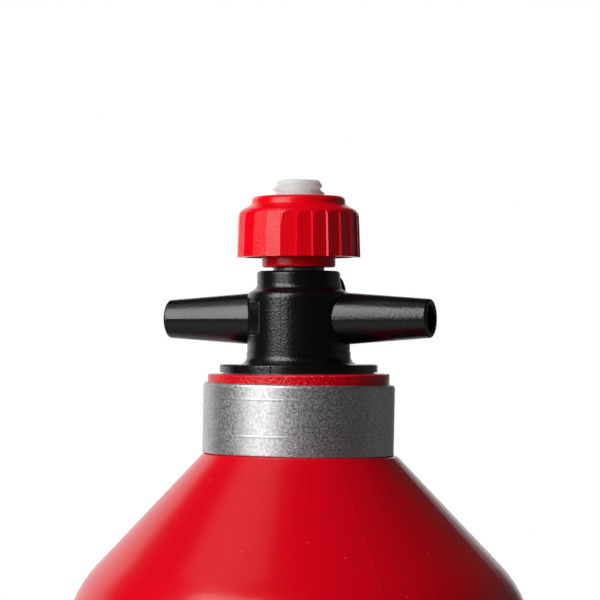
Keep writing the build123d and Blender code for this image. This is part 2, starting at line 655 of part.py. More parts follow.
PARTS = {
    "bottle_body": bottle_body,
    "neck_ring": neck_band,
    "flange_gasket": flange_gasket,
    "valve_body": valve_body,
    "spindle": spindle,
    "stem_seal": stem_seal,
    "stem_o_ring": stem_o_ring,
    "valve_head": valve_head,
    "head_seal": head_seal,
    "head_washer": head_washer,
    "head_screw": head_screw,
    "return_spring": return_spring,
    "spring_cage": spring_cage,
    "knob_lock_ring": rubber_ring,
    "knob": knob,
}

os.makedirs("parts", exist_ok=True)
for name, build in PARTS.items():
    solid = build()
    export_step(solid, f"parts/{name}.step")
    print(f"{name}: {solid.volume:.1f} mm3")
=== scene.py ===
"""Looks of the camping fuel bottle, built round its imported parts.

Metres, +Z up, the bottle standing on the floor at the origin and its pouring arm along +X.
"""
import math

import bpy
import numpy as np
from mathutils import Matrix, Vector


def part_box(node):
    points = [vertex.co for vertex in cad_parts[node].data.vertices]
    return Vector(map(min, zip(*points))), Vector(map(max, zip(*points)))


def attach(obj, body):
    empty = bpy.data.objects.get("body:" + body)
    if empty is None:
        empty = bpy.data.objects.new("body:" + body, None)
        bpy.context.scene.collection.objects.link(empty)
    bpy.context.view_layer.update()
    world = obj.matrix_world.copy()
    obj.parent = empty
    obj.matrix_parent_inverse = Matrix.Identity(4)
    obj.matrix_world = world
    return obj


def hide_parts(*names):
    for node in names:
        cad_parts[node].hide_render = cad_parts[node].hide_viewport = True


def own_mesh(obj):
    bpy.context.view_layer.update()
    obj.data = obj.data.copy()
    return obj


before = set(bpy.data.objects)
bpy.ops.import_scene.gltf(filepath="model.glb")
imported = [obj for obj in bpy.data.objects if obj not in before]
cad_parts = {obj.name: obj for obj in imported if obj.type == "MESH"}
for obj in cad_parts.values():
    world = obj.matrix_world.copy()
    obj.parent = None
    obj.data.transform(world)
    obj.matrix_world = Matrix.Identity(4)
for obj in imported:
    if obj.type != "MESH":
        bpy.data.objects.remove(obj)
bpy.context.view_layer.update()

MM = 0.001
TINY = 1e-6
QUARTER_TURN = math.pi / 2
FULL_TURN = 2 * math.pi
UP = np.array([0.0, 0.0, 1.0])

# Camera: level with the arms, a little to the right of square on
CAMERA_AZIMUTH = 20.3
CAMERA_DISTANCE = 540 * MM
CAMERA_HEIGHT = 235.3 * MM
CAMERA_CLIP = (0.01, 20.0)
PHOTO_WIDTH = 115.4 * MM
PHOTO_PIXELS = 600
AXIS_COLUMN_PX = 298.7
EYE_ROW_PX = 334.8
SENSOR = 36.0

# All meshes: an edge stays sharp where its faces turn by more than this angle. In the groups below, a
# number of steps is the number of points on an arc or of steps along a straight stretch
SHARP_ANGLE = 32

# Ridges: points round one ring, rings in one turn of a helix, the share of the length over which each
# end runs out, and how thin its tip is
RIDGE_SIDES = 12
HELIX_STEPS = 72
RIDGE_END_SHARE = 0.08
RIDGE_TIP = 0.03

# Spindle, whose thread is an M10 with 1.5 mm between crests
THREAD_PITCH = 1.5 * MM
THREAD_CREST_R = 5.0 * MM
THREAD_ROOT_R = 4.1 * MM
THREAD_CREST_HEIGHT = 263.9 * MM
THREAD_FADE_LOW = 263.2 * MM
THREAD_FADE_HIGH = 264.5 * MM
THREAD_CREST_SHARE = 0.025
THREAD_UPPER_SHARE = 0.55
THREAD_LOWER_SHARE = 0.40
THREAD_ROUNDING = 0.4
SPINDLE_EDGE_R = 0.45 * MM
FLATS_LENGTH = 7.65 * MM
SHANK_R = 4.0 * MM
SHANK_FLAT = 3.3 * MM
SPIGOT_R = 2.4 * MM
SCREW_HOLE_R = 1.55 * MM
SEAL_GROOVE_R = 2.74 * MM
SPINDLE_COLUMNS = 192
SPINDLE_STEPS = {"edge": 8, "thread": 190, "shank": [4, 6, 2, 2, 2, 6], "flats": 6, "spigot": [4, 3, 2, 4]}

# Coarse screw thread between valve and bottle
SKIRT_R = 12.0 * MM
NECK_BORE_R = 12.95 * MM
SKIRT_THREAD_PITCH = 3.0 * MM
SKIRT_THREAD_DEPTH = 0.8 * MM
SKIRT_THREAD_WIDTH = 1.3 * MM
SKIRT_THREAD_LENGTH = 9.9 * MM
NECK_THREAD_DEPTH_SHARE = 0.9

# Thread inside the knob, whose ends stay clear of the knob's foot and top
KNOB_BORE_R = 5.1 * MM
KNOB_THREAD_DEPTH = 0.85 * MM
KNOB_THREAD_WIDTH = 0.75 * MM
KNOB_THREAD_FOOT = 2.0 * MM
KNOB_THREAD_TOP = 1.2 * MM

# Return spring: the radius of its helix, the wire's radius and its turns
SPRING_R = 6.2 * MM
SPRING_WIRE_R = 0.45 * MM
SPRING_TURNS = 4.5

# Line that the blow mould leaves down both sides of the bottle
SEAM_ANGLE = -47.9
SEAM_WIDTH = 0.36 * MM
SEAM_HEIGHT = 0.025 * MM
BARREL_R = 45.0 * MM
HEEL_R = 7.0 * MM
SHOULDER_R = 22.4 * MM
CONE_ANGLE = 43.5
SEAM_TOP_R = 19.1 * MM
SEAM_TOP = 211.84 * MM
SEAM_STEPS = {"cone": 40, "shoulder": 24, "barrel": 60, "heel": 16}

# Fine line that the valve's mould leaves in front and behind, from the collar's edge down to the flange
COLLAR_R = 8.0 * MM
COLLAR_TOP = 246.9 * MM
COLLAR_FOOT = 245.1 * MM
COLUMN_R = 9.9 * MM
COLUMN_TOP = 242.4 * MM
COLUMN_STEP_TOP = 232.1 * MM
COLUMN_FOOT_R = 10.0 * MM
FOOT_FILLET_R = 1.6 * MM
FLANGE_TOP = 229.6 * MM
FLANGE_LINE_R = 14.6 * MM
VALVE_SEAM_ANGLE = -90
VALVE_SEAM_WIDTH = 0.16 * MM
VALVE_SEAM_HEIGHT = 0.03 * MM
VALVE_SEAM_STEPS = {"collar": 8, "bend": 10, "column": [40, 2, 4], "fillet": 12, "flange": 12}

# Plain recess in the column's side: its raised rim, and the flat plate in it, turned a little forward
PLATE_ANGLE = -129.6
PLATE_HEIGHT_Z = 238.4 * MM
PLATE_HALF_WIDTH = 1.8 * MM
PLATE_HALF_HEIGHT = 3.1 * MM
PLATE_CORNER_R = 0.35 * MM
PLATE_RIM_WIDTH = 0.34 * MM
PLATE_RIM_HEIGHT = 0.13 * MM
PLATE_FACE_TURN = 3.0
PLATE_FACE_R = 9.68 * MM
PLATE_THICKNESS = 0.3 * MM
PLATE_EDGE_R = 0.06 * MM
PLATE_STEPS = {"corner": 6, "side": 14, "edge": 5}

# Beads in the two grooves of the leaning band, their heights taken from its middle
BAND_TILT = 1.1
BAND_TILT_AXIS = 110.3
BAND_LINE_R = 18.35 * MM
BAND_LINE_WIDTH = 0.80 * MM
BAND_LINE_HEIGHT = 0.063 * MM
BAND_LINE_TOP = 3.875 * MM
BAND_LINE_FOOT = -3.075 * MM
BAND_LINE_STEPS = 240


# Tools for shapes


def new_object(name, data):
    """An object with the given mesh, lamp or camera, in the scene."""
    thing = bpy.data.objects.new(name, data)
    bpy.context.scene.collection.objects.link(thing)
    return thing


def mesh_piece(name, points, quads, triangles, body, slot):
    """A smooth mesh from arrays of points and faces, in its slot's finish, with sharp edges where faces
    turn by more than the sharp angle."""
    mesh = bpy.data.meshes.new(name)
    faces = np.asarray(quads).tolist() + np.asarray(triangles).tolist()
    mesh.from_pydata(points.reshape(-1, 3).tolist(), [], faces)
    mesh.validate()
    mesh.shade_smooth()
    mesh.set_sharp_from_angle(angle=math.radians(SHARP_ANGLE))
    mesh.materials.append(finishes[slot])
    piece = new_object(name, mesh)
    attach(piece, body)
    return piece


def grid_quads(rows, columns, wrap_rows, wrap_columns):
    """Four corners of every cell of a grid of points, joined up at its edges where it wraps."""
    row = np.arange(rows if wrap_rows else rows - 1)[:, None]
    column = np.arange(columns if wrap_columns else columns - 1)[None, :]
    below, beside = (row + 1) % rows, (column + 1) % columns
    corners = [row * columns + column, row * columns + beside,
               below * columns + beside, below * columns + column]
    return np.stack(corners, -1).reshape(-1, 4)


def fan(hub, ring):
    """Triangles that close a ring of points: each joins two neighbours on the ring to the hub."""
    return np.stack([np.full(len(ring), hub), ring, np.roll(ring, -1)], -1)


def spokes(turn):
    """Level unit vectors at the given angles round the axis: cosine along X and sine along Y."""
    return np.stack([np.cos(turn), np.sin(turn), 0 * turn], -1)


def unit(vectors):
    """Each vector divided by its own length."""
    return vectors / np.linalg.norm(vectors, axis=-1, keepdims=True)


def arc(middle, radius, start, end, count):
    """Points on a circle round a middle, evenly from one angle to another."""
    turn = np.linspace(start, end, count)
    return np.array(middle) + radius * np.stack([np.cos(turn), np.sin(turn)], -1)


def outline_points(corners, steps):
    """Points along straight stretches between corners, each cut into its own number of steps."""
    stretches = [np.linspace(a, b, n, endpoint=False) for a, b, n in zip(corners, corners[1:], steps)]
    return np.vstack([*stretches, np.array(corners[-1:])])


def turned_piece(name, radius, height, body, slot):
    """A lathe form: point (row, column) lies at radius[row, column] and height[row, column], turned by
    column's share of a circle. The outline runs from the top pole down the outside to the bottom pole,
    and both poles are closed."""
    rows, columns = radius.shape
    turn = np.linspace(0, FULL_TURN, columns, endpoint=False)[None, :]
    points = (radius[..., None] * spokes(turn) + height[..., None] * UP).reshape(-1, 3)
    poles = np.array([height[0].mean(), height[-1].mean()])[:, None] * UP
    top = fan(len(points), np.arange(columns))
    bottom = fan(len(points) + 1, ((rows - 1) * columns + np.arange(columns))[::-1])
    quads = grid_quads(rows, columns, False, True)[:, ::-1]
    return mesh_piece(name, np.vstack([points, poles]), quads, np.vstack([top, bottom]), body, slot)


def swept_ridge(name, centre, outward, along, width, height, body, slot, closed=False, blunt=False):
    """A ridge carried along a path: each ring is an ellipse whose half width lies across the path and
    whose half height points outward. Both shrink to nothing over the ends, or the ends are blunt, or
    the last ring joins the first."""
    count = len(centre)
    across = np.cross(outward, along)
    from_end = np.minimum(np.arange(count), np.arange(count)[::-1])
    taper = np.ones(count)
    if not (closed or blunt):
        taper = np.minimum(1.0, from_end / (count * RIDGE_END_SHARE) + RIDGE_TIP)
    turn = np.linspace(0, FULL_TURN, RIDGE_SIDES, endpoint=False)[None, :, None]
    ring = np.cos(turn) * across[:, None, :] * width / 2 + np.sin(turn) * outward[:, None, :] * height
    points = (centre[:, None, :] + ring * np.sqrt(taper)[:, None, None]).reshape(-1, 3)
    quads = grid_quads(count, RIDGE_SIDES, closed, True)
    if closed:
        return mesh_piece(name, points, quads, np.empty((0, 3), int), body, slot)
    first_ring = np.arange(RIDGE_SIDES)
    start = fan(len(points), first_ring[::-1])
    finish = fan(len(points) + 1, (count - 1) * RIDGE_SIDES + first_ring)
    ends = np.vstack([centre[:1], centre[-1:]])
    return mesh_piece(name, np.vstack([points, ends]), quads, np.vstack([start, finish]), body, slot)


def helix(radius, foot, top, turn):
    """Points of a helix, each the radius out along the spoke at its angle, with heights that climb
    evenly from foot to top. Gives the spokes too, which are the ways outward."""
    outward = spokes(turn)
    return radius * outward + np.linspace(foot, top, len(turn))[:, None] * UP, outward


def thread_ridge(name, radius, depth, pitch, width, foot, length, phase, body, slot):
    """A raised thread on a round wall: a helix rising by the pitch each turn, whose ridge stands out by
    depth, or in towards the axis where depth is negative."""
    turns = length / pitch
    turn = phase + np.linspace(0, FULL_TURN * turns, int(turns * HELIX_STEPS))
    centre, outward = helix(radius, foot, foot + length, turn)
    along = unit(radius * spokes(turn + QUARTER_TURN) + pitch / FULL_TURN * UP)
    return swept_ridge(name, centre, outward * np.sign(depth), along, width, abs(depth), body, slot)


def line_down_the_side(name, line, angle, width, height, body, slot):
    """A ridge laid on an outline of radius and height, at one angle round the axis. It stands out
    square to the outline, on the side that the outline's direction has on its left."""
    step = unit(np.gradient(line, axis=0))
    spoke = spokes(math.radians(angle))
    centre = line[:, :1] * spoke + line[:, 1:] * UP
    along = step[:, :1] * spoke + step[:, 1:] * UP
    outward = -step[:, 1:] * spoke + step[:, :1] * UP
    return swept_ridge(name, centre, outward, along, width, height, body, slot)


# Tools for materials


def add_node(tree, kind):
    """A new shader node of the given kind in a tree."""
    return tree.nodes.new("ShaderNode" + kind)


def feed(tree, value, socket):
    """Links another node's output to a socket, or sets the socket to a plain value."""
    if isinstance(value, bpy.types.NodeSocket):
        tree.links.new(value, socket)
    else:
        socket.default_value = value


def worked_out(tree, operation, *values):
    """The result of a Math node, from other nodes' outputs and plain numbers."""
    node = add_node(tree, "Math")
    node.operation = operation
    for value, socket in zip(values, node.inputs):
        feed(tree, value, socket)
    return node.outputs["Value"]


def stretched(tree, source, start, end, low=0.0, high=1.0, smooth=False):
    """A mask that runs from low to high as the source runs from start to end, and is held beyond."""
    node = add_node(tree, "MapRange")
    if smooth:
        node.interpolation_type = "SMOOTHSTEP"
    for name, value in (("From Min", start), ("From Max", end), ("To Min", low), ("To Max", high)):
        node.inputs[name].default_value = value
    tree.links.new(source, node.inputs["Value"])
    return node.outputs["Result"]


def mixed_colour(tree, mask, first, second):
    """A colour that goes from the first to the second as the mask goes from 0 to 1."""
    node = add_node(tree, "Mix")
    node.data_type = "RGBA"
    tree.links.new(mask, node.inputs["Factor"])
    for name, colour in (("A", first), ("B", second)):
        feed(tree, (*colour, 1) if isinstance(colour, tuple) else colour, node.inputs[name])
    return node.outputs["Result"]


def add_bump(tree, shader, height, strength, distance):
    """A Bump node from a height socket into the shader's normal."""
    bump = add_node(tree, "Bump")
    bump.inputs["Strength"].default_value = strength
    bump.inputs["Distance"].default_value = distance
    tree.links.new(height, bump.inputs["Height"])
    tree.links.new(bump.outputs["Normal"], shader.inputs["Normal"])


def new_material(name):
    """A new node material, its tree and its Principled shader."""
    material = bpy.data.materials.new(name)
    material.use_nodes = True
    tree = material.node_tree
    return material, tree, tree.nodes["Principled BSDF"]


def new_group(name, inputs, kind, outputs):
    """A shader node group with inputs of one kind and masks as outputs, and its two end nodes."""
    group = bpy.data.node_groups.new(name, "ShaderNodeTree")
    for title in inputs:
        group.interface.new_socket(title, in_out="INPUT", socket_type=kind)
    for title in outputs:
        group.interface.new_socket(title, in_out="OUTPUT", socket_type="NodeSocketFloat")
    return group, group.nodes.new("NodeGroupInput"), group.nodes.new("NodeGroupOutput")


def placed_group(tree, group):
    """A node group put into a material, the world or another tree."""
    node = add_node(tree, "Group")
    node.node_tree = group
    return node


# Finishes


# Grain and cloud noise, the part of the cloud's noise that is stretched to 0 to 1, and how near a
# cell's middle a speck starts and is full
GRAIN_DETAIL, GRAIN_ROUGHNESS, CLOUD_DETAIL = 2.0, 0.5, 4.0
CLOUD_SPAN = (0.3, 0.7)
SPECK_SPAN = (0.045, 0.02)

# Moulded plastics and rubber: two shades that cloud into each other, the roughness of each, how many
# grains and clouds lie along a metre, the bump's strength and height, and how strongly it mirrors
MOULDED = {
    "knob_red": {
        "shades": ((0.93, 0.0, 0.010), (0.87, 0.0, 0.008)),
        "rough": (0.19, 0.24), "scales": (3000.0, 240.0), "bump": (1.0, 0.040 * MM), "specular": 0.36,
    },
    "valve_black": {
        "shades": ((0.0040, 0.0036, 0.0042), (0.0030, 0.0027, 0.0032)),
        "rough": (0.20, 0.25), "scales": (2500.0, 160.0), "bump": (1.0, 0.052 * MM), "specular": 0.56,
    },
    "seal_rubber": {
        "shades": ((0.18, 0.14, 0.165), (0.15, 0.115, 0.14)),
        "rough": (0.18, 0.26), "scales": (2000.0, 150.0), "bump": (0.15, 0.02 * MM), "specular": 0.9,
    },
    "spindle_white": {
        "shades": ((0.97, 0.945, 0.95), (0.94, 0.915, 0.92)),
        "rough": (0.36, 0.46), "scales": (1400.0, 200.0), "bump": (0.20, 0.03 * MM), "specular": 0.5,
    },
}

# Bottle: the same, with a third scale for its pale specks. It is pebbled above the band, and below it
# only a small share of the bump is left
BOTTLE_SHADES = (0.75, 0.0, 0.010), (0.69, 0.0, 0.009)
BOTTLE_DUST = (0.80, 0.10, 0.12)
BOTTLE_ROUGH = (0.20, 0.25)
BOTTLE_SCALES = (2100.0, 30.0, 230.0)
BOTTLE_BUMP = (1.0, 0.25 * MM)
BOTTLE_SPECULAR = 0.36
PEBBLES_START, PEBBLES_FULL = 220 * MM, 225 * MM
SMOOTH_SHARE = 0.01

# Milky nylon: how far light travels in it, and the share of that for red, green and blue
NYLON_DEPTH = 18.0 * MM
NYLON_REACH = (1.0, 0.85, 0.85)

# Plated steel: light and dark spangle, and the part of the grain over which it goes smooth to rough
STEEL_SHADES = (0.78, 0.765, 0.75), (0.46, 0.455, 0.47)
STEEL_ROUGH = (0.32, 0.58)
STEEL_ROUGH_SPAN = (0.32, 0.68)
STEEL_SCALES = (3000.0, 2200.0)
STEEL_BUMP = (1.0, 0.013 * MM)

NODE_SLOTS = {
    "bottle_body": "bottle_red", "neck_ring": "ring_steel", "flange_gasket": "seal_rubber",
    "valve_body": "valve_black", "spindle": "spindle_white", "stem_seal": "seal_rubber",
    "stem_o_ring": "seal_rubber", "valve_head": "valve_black", "head_seal": "seal_rubber",
    "head_washer": "screw_steel", "head_screw": "screw_steel", "return_spring": "screw_steel",
    "spring_cage": "valve_black", "knob_lock_ring": "seal_rubber", "knob": "knob_red",
}


def grain_group():
    """Mould grain, soft cloudiness and stray specks. Height is the grain, for a Bump node; Cloud varies
    slowly from 0 to 1; Speck is 1 in rare small spots. Each scale is in repeats per metre."""
    scales = ("Grain Scale", "Cloud Scale", "Speck Scale")
    masks = ("Height", "Cloud", "Speck")
    group, entry, leave = new_group("surface_grain", scales, "NodeSocketFloat", masks)
    place = add_node(group, "TexCoord")
    grain, cloud, cells = (add_node(group, kind) for kind in ("TexNoise", "TexNoise", "TexVoronoi"))
    grain.inputs["Detail"].default_value = GRAIN_DETAIL
    grain.inputs["Roughness"].default_value = GRAIN_ROUGHNESS
    cloud.inputs["Detail"].default_value = CLOUD_DETAIL
    for node, scale in zip((grain, cloud, cells), scales):
        group.links.new(place.outputs["Object"], node.inputs["Vector"])
        group.links.new(entry.outputs[scale], node.inputs["Scale"])
    group.links.new(grain.outputs["Fac"], leave.inputs["Height"])
    group.links.new(stretched(group, cloud.outputs["Fac"], *CLOUD_SPAN), leave.inputs["Cloud"])
    group.links.new(stretched(group, cells.outputs["Distance"], *SPECK_SPAN), leave.inputs["Speck"])
    return group


def placed_grain(tree, scales):
    """The grain group in one material, with its own scales for grain, cloud and, if it has any, specks."""
    node = placed_group(tree, surface_grain)
    for socket, scale in zip(node.inputs, scales):
        socket.default_value = scale
    return node.outputs


def moulded(name, shades, rough, scales, bump, specular):
    """A moulded piece: two close shades clouded together, satin, with the mould's grain as bump."""
    material, tree, shader = new_material(name)
    grain = placed_grain(tree, scales)
    tree.links.new(mixed_colour(tree, grain["Cloud"], *shades), shader.inputs["Base Color"])
    tree.links.new(stretched(tree, grain["Cloud"], 0, 1, *rough), shader.inputs["Roughness"])
    add_bump(tree, shader, grain["Height"], *bump)
    shader.inputs["Specular IOR Level"].default_value = specular
    return material


def blown_red(name):
    """The bottle's polyethylene: nearly smooth on the cone and barrel, pebbled on the neck above the
    band, with a few pale specks of dust. The grain's height is weakened below the neck by a mask on the
    height coordinate."""
    material, tree, shader = new_material(name)
    grain = placed_grain(tree, BOTTLE_SCALES)
    clouded = mixed_colour(tree, grain["Cloud"], *BOTTLE_SHADES)
    dusty = mixed_colour(tree, grain["Speck"], clouded, BOTTLE_DUST)
    tree.links.new(dusty, shader.inputs["Base Color"])
    tree.links.new(stretched(tree, grain["Cloud"], 0, 1, *BOTTLE_ROUGH), shader.inputs["Roughness"])
    place, split = add_node(tree, "TexCoord"), add_node(tree, "SeparateXYZ")
    tree.links.new(place.outputs["Object"], split.inputs["Vector"])
    pebbled = stretched(tree, split.outputs["Z"], PEBBLES_START, PEBBLES_FULL, SMOOTH_SHARE)
    add_bump(tree, shader, worked_out(tree, "MULTIPLY", pebbled, grain["Height"]), *BOTTLE_BUMP)
    shader.inputs["Specular IOR Level"].default_value = BOTTLE_SPECULAR
    return material


def plated_steel(name):
    """Zinc-plated sheet: bright metal whose fine spangle shows as light and dark grains, rough and
    smooth ones."""
    material, tree, shader = new_material(name)
    shader.inputs["Metallic"].default_value = 1.0
    grain = placed_grain(tree, STEEL_SCALES)
    tree.links.new(mixed_colour(tree, grain["Cloud"], *STEEL_SHADES), shader.inputs["Base Color"])
    rough = stretched(tree, grain["Height"], *STEEL_ROUGH_SPAN, *STEEL_ROUGH)
    tree.links.new(rough, shader.inputs["Roughness"])
    add_bump(tree, shader, grain["Height"], *STEEL_BUMP)
    return material


def let_light_in(material):
    """Lets light travel some way in a finish, as it does in milky nylon."""
    shader = material.node_tree.nodes["Principled BSDF"]
    shader.inputs["Subsurface Weight"].default_value = 1.0
    shader.inputs["Subsurface Radius"].default_value = NYLON_REACH
    shader.inputs["Subsurface Scale"].default_value = NYLON_DEPTH


surface_grain = grain_group()
finishes = {name: moulded(name, **values) for name, values in MOULDED.items()}
finishes["bottle_red"] = blown_red("bottle_red")
finishes["ring_steel"] = plated_steel("ring_steel")
finishes["screw_steel"] = plated_steel("screw_steel")
let_light_in(finishes["spindle_white"])

for name, slot in NODE_SLOTS.items():
    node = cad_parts[name]
    node.data.materials.clear()
    node.data.materials.append(finishes[slot])


# Pieces that only the scene has


def thread_relief(turn, height):
    """How much of the spindle's thread stands at an angle and a height, from 0 at the root to 1 at the
    crest. The crest climbs by one pitch each turn, its flanks are straight lines with rounded ends, and
    it sinks away over its last turn."""
    crest = THREAD_CREST_HEIGHT + THREAD_PITCH * (turn - math.radians(CAMERA_AZIMUTH)) / FULL_TURN
    lower_half = THREAD_LOWER_SHARE + THREAD_CREST_SHARE
    above = ((height - crest) / THREAD_PITCH + lower_half) % 1 - lower_half
    flank = np.where(above > 0, THREAD_UPPER_SHARE, THREAD_LOWER_SHARE)
    ridge = 1 - np.clip((np.abs(above) - THREAD_CREST_SHARE) / flank, 0, 1)
    ridge = (1 - THREAD_ROUNDING) * ridge + THREAD_ROUNDING * ridge * ridge * (3 - 2 * ridge)
    own_crest = height - above * THREAD_PITCH
    return ridge * np.clip((THREAD_FADE_HIGH - own_crest) / (THREAD_FADE_HIGH - THREAD_FADE_LOW), 0, 1)


def threaded_spindle():
    """The spindle turned from its top. The rounded edge and the threaded length have the core's radius
    plus the thread's relief; below them come the shank with the seal's groove, the length with two
    flats, the spigot and the screw's hole. Where it is flattened, the radius is at most the flat's
    distance divided by the sine of the angle."""
    low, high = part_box("spindle")
    foot, top = low.z, high.z
    thread_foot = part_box("stem_seal")[1].z
    groove_low, groove_high = (corner.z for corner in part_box("stem_o_ring"))
    spigot_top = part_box("head_seal")[1].z
    hole_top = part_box("head_screw")[1].z
    flats_top = spigot_top + FLATS_LENGTH
    edge_foot = top - SPINDLE_EDGE_R
    edge_middle = THREAD_ROOT_R - SPINDLE_EDGE_R, edge_foot
    shank = [
        (THREAD_ROOT_R, thread_foot), (SHANK_R, thread_foot), (SHANK_R, groove_high),
        (SEAL_GROOVE_R, groove_high), (SEAL_GROOVE_R, groove_low), (SHANK_R, groove_low),
        (SHANK_R, flats_top),
    ]
    spigot = [
        (SHANK_R, spigot_top), (SPIGOT_R, spigot_top), (SPIGOT_R, foot), (SCREW_HOLE_R, foot),
        (SCREW_HOLE_R, hole_top),
    ]
    steps = SPINDLE_STEPS
    lengths = [
        arc(edge_middle, SPINDLE_EDGE_R, QUARTER_TURN, 0, steps["edge"])[:-1],
        outline_points([(THREAD_ROOT_R, edge_foot), (THREAD_ROOT_R, thread_foot)], [steps["thread"]])[:-1],
        outline_points(shank, steps["shank"])[:-1],
        outline_points([(SHANK_R, flats_top), (SHANK_R, spigot_top)], [steps["flats"]]),
        outline_points(spigot, steps["spigot"])[1:],
    ]
    rows = [len(length) for length in lengths]
    threaded = np.repeat([True, True, False, False, False], rows)[:, None]
    flattened = np.repeat([False, False, False, True, False], rows)[:, None]
    turn = np.linspace(0, FULL_TURN, SPINDLE_COLUMNS, endpoint=False)[None, :]
    outline = np.vstack(lengths)
    radius, height = outline[:, :1] + 0 * turn, outline[:, 1:] + 0 * turn
    relief = (THREAD_CREST_R - THREAD_ROOT_R) * thread_relief(turn, height)
    radius = radius + np.where(threaded, relief, 0)
    flat_r = SHANK_FLAT / np.maximum(np.abs(np.sin(turn)), TINY)
    radius = np.where(flattened, np.minimum(radius, flat_r), radius)
    piece = turned_piece("spindle_thread", radius, height, "plunger", "spindle_white")
    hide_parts("spindle")


def skirt_and_neck_threads():
    """The coarse threads under the flange and inside the neck, each half a pitch off the other."""
    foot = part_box("flange_gasket")[0].z - SKIRT_THREAD_LENGTH
    neck_foot = foot - SKIRT_THREAD_PITCH / 2
    neck_depth = SKIRT_THREAD_DEPTH * NECK_THREAD_DEPTH_SHARE
    thread_ridge("skirt_thread", SKIRT_R, SKIRT_THREAD_DEPTH, SKIRT_THREAD_PITCH, SKIRT_THREAD_WIDTH,
                 foot, SKIRT_THREAD_LENGTH, 0.0, "valve", "valve_black")
    thread_ridge("neck_thread", NECK_BORE_R, -neck_depth, SKIRT_THREAD_PITCH, SKIRT_THREAD_WIDTH,
                 neck_foot, SKIRT_THREAD_LENGTH, 0.0, "bottle", "bottle_red")


def knob_thread():
    """The thread inside the knob's bore, half a pitch between the spindle's crests."""
    low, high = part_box("knob")
    foot = low.z + KNOB_THREAD_FOOT
    length = high.z - KNOB_THREAD_TOP - foot
    crest_turn = (foot + THREAD_PITCH / 2 - THREAD_CREST_HEIGHT) / THREAD_PITCH * FULL_TURN
    phase = crest_turn + math.radians(CAMERA_AZIMUTH)
    thread_ridge("knob_thread", KNOB_BORE_R, -KNOB_THREAD_DEPTH, THREAD_PITCH, KNOB_THREAD_WIDTH,
                 foot, length, phase, "knob", "knob_red")


def pressed_spring():
    """The return spring: a round wire along a helix that climbs evenly from the cage to the head."""
    low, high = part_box("return_spring")
    turn = np.linspace(0, FULL_TURN * SPRING_TURNS, int(SPRING_TURNS * HELIX_STEPS) + 1)
    centre, outward = helix(SPRING_R, low.z + SPRING_WIRE_R, high.z - SPRING_WIRE_R, turn)
    along = unit(np.gradient(centre, axis=0))
    piece = swept_ridge("pressed_spring", centre, outward, along, 2 * SPRING_WIRE_R, SPRING_WIRE_R,
                        "valve", "screw_steel", blunt=True)
    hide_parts("return_spring")
    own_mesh(piece)


def mould_seam(name, angle):
    """The thin raised line of the blow mould on one side, carried along the bottle's outline from the
    neck's land over cone, shoulder, barrel and heel: straight stretches joined by arcs of the
    shoulder's and heel's radius."""
    lean = math.radians(CONE_ANGLE)
    cone_r = BARREL_R - SHOULDER_R * (1 - math.cos(lean))
    cone_z = SEAM_TOP - (cone_r - SEAM_TOP_R) / math.tan(lean)
    barrel_z = cone_z - SHOULDER_R * math.sin(lean)
    steps = SEAM_STEPS
    line = np.vstack([
        outline_points([(SEAM_TOP_R, SEAM_TOP), (cone_r, cone_z)], [steps["cone"]])[:-1],
        arc((BARREL_R - SHOULDER_R, barrel_z), SHOULDER_R, lean, 0, steps["shoulder"]),
        outline_points([(BARREL_R, barrel_z), (BARREL_R, HEEL_R)], [steps["barrel"]])[1:-1],
        arc((BARREL_R - HEEL_R, HEEL_R), HEEL_R, 0, -QUARTER_TURN, steps["heel"])[:-1],
    ])
    line_down_the_side(name, line, angle, SEAM_WIDTH, SEAM_HEIGHT, "bottle", "bottle_red")


def valve_seam(name, angle):
    """The fine raised line of the valve's mould: down the collar, over the shoulder's two equal arcs,
    down the column and its step, round the foot's fillet and out over the flange to the notch in its
    edge."""
    wide, tall = COLUMN_R - COLLAR_R, COLLAR_FOOT - COLUMN_TOP
    bend_r = (wide**2 + tall**2) / (4 * wide)
    bend = math.asin(tall / 2 / bend_r)
    fillet_r, fillet_z = COLUMN_FOOT_R + FOOT_FILLET_R, FLANGE_TOP + FOOT_FILLET_R
    column = [
        (COLUMN_R, COLUMN_TOP), (COLUMN_R, COLUMN_STEP_TOP),
        (COLUMN_FOOT_R, COLUMN_STEP_TOP - (COLUMN_FOOT_R - COLUMN_R)), (COLUMN_FOOT_R, fillet_z),
    ]
    steps = VALVE_SEAM_STEPS
    line = np.vstack([
        outline_points([(COLLAR_R, COLLAR_TOP), (COLLAR_R, COLLAR_FOOT)], [steps["collar"]])[:-1],
        arc((COLLAR_R + bend_r, COLLAR_FOOT), bend_r, math.pi, math.pi + bend, steps["bend"]),
        arc((COLUMN_R - bend_r, COLUMN_TOP), bend_r, bend, 0, steps["bend"])[1:-1],
        outline_points(column, steps["column"])[:-1],
        arc((fillet_r, fillet_z), FOOT_FILLET_R, math.pi, math.pi + QUARTER_TURN, steps["fillet"]),
        outline_points([(fillet_r, FLANGE_TOP), (FLANGE_LINE_R, FLANGE_TOP)], [steps["flange"]])[1:],
    ])
    line_down_the_side(name, line, angle, VALVE_SEAM_WIDTH, VALVE_SEAM_HEIGHT, "valve", "valve_black")


def plate_loop(side_steps, spread):
    """Points round the recess's rectangle with round corners, grown or shrunk by spread, with so many
    steps along each straight side."""
    corner_steps = PLATE_STEPS["corner"]
    corners = []
    for quarter, (side, end) in enumerate(((1, 1), (-1, 1), (-1, -1), (1, -1))):
        middle = side * (PLATE_HALF_WIDTH - PLATE_CORNER_R), end * (PLATE_HALF_HEIGHT - PLATE_CORNER_R)
        start = quarter * QUARTER_TURN
        corners.append(arc(middle, PLATE_CORNER_R + spread, start, start + QUARTER_TURN, corner_steps))
    loop = np.vstack([*corners, corners[0][:1]])
    steps = ([1] * (corner_steps - 1) + [side_steps]) * len(corners)
    return outline_points(loop, steps)[:-1]


